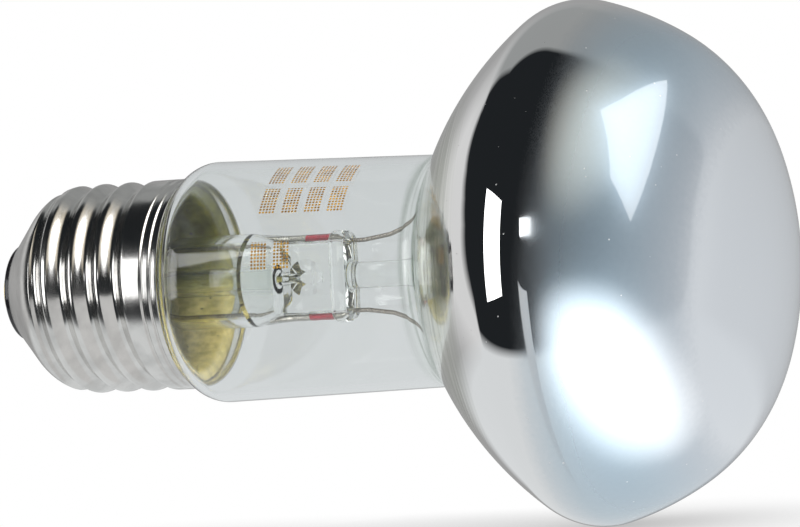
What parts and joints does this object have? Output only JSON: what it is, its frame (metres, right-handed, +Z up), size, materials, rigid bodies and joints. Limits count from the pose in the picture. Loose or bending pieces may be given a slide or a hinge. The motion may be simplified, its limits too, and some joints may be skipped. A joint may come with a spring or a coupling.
{
  "type": "basking bulb",
  "caption": "Reflector basking bulb with a rolled screw cap, a clear neck over the glass stem and leads, a silvered bowl and a frosted domed face.",
  "frame": {"origin": "centre of the centre contact's flat face, on the lamp's axis", "axes": "+X along the lamp's axis from the centre contact to the domed face, +Z up as it lies in the picture, -Y towards the viewer"},
  "size_m": [0.1014, 0.063, 0.063],
  "materials": {
    "envelope_glass": "clear neck, silvered bowl, frosted face",
    "cap_metal": "bright rolled",
    "insulator_glass": "black, fire polished",
    "contact_brass": "stamped",
    "solder": "cast, dull",
    "cement": "granular, matt",
    "stem_glass": "clear, fire polished",
    "lead_copper": "drawn wire",
    "seal_wire_copper": "borated red",
    "lead_nickel": "drawn wire",
    "tungsten": "dark coiled wire",
    "support_metal": "drawn wire"
  },
  "bodies": {
    "root": {"glass_envelope": "envelope_glass", "cap_shell": "cap_metal", "cap_insulator": "insulator_glass", "centre_contact": "contact_brass", "centre_solder": "solder", "side_weld": "solder", "basing_cement": "cement", "stem_press": "stem_glass", "exhaust_tube": "stem_glass", "arbor_rod": "stem_glass", "outer_lead_live": "lead_copper", "outer_lead_neutral": "lead_copper", "seal_wire_live": "seal_wire_copper", "seal_wire_neutral": "seal_wire_copper", "inner_lead_live": "lead_nickel", "inner_lead_neutral": "lead_nickel", "filament": "tungsten", "support_wire_1": "support_metal", "support_wire_2": "support_metal", "support_wire_3": "support_metal"}
  },
  "joints": []
}
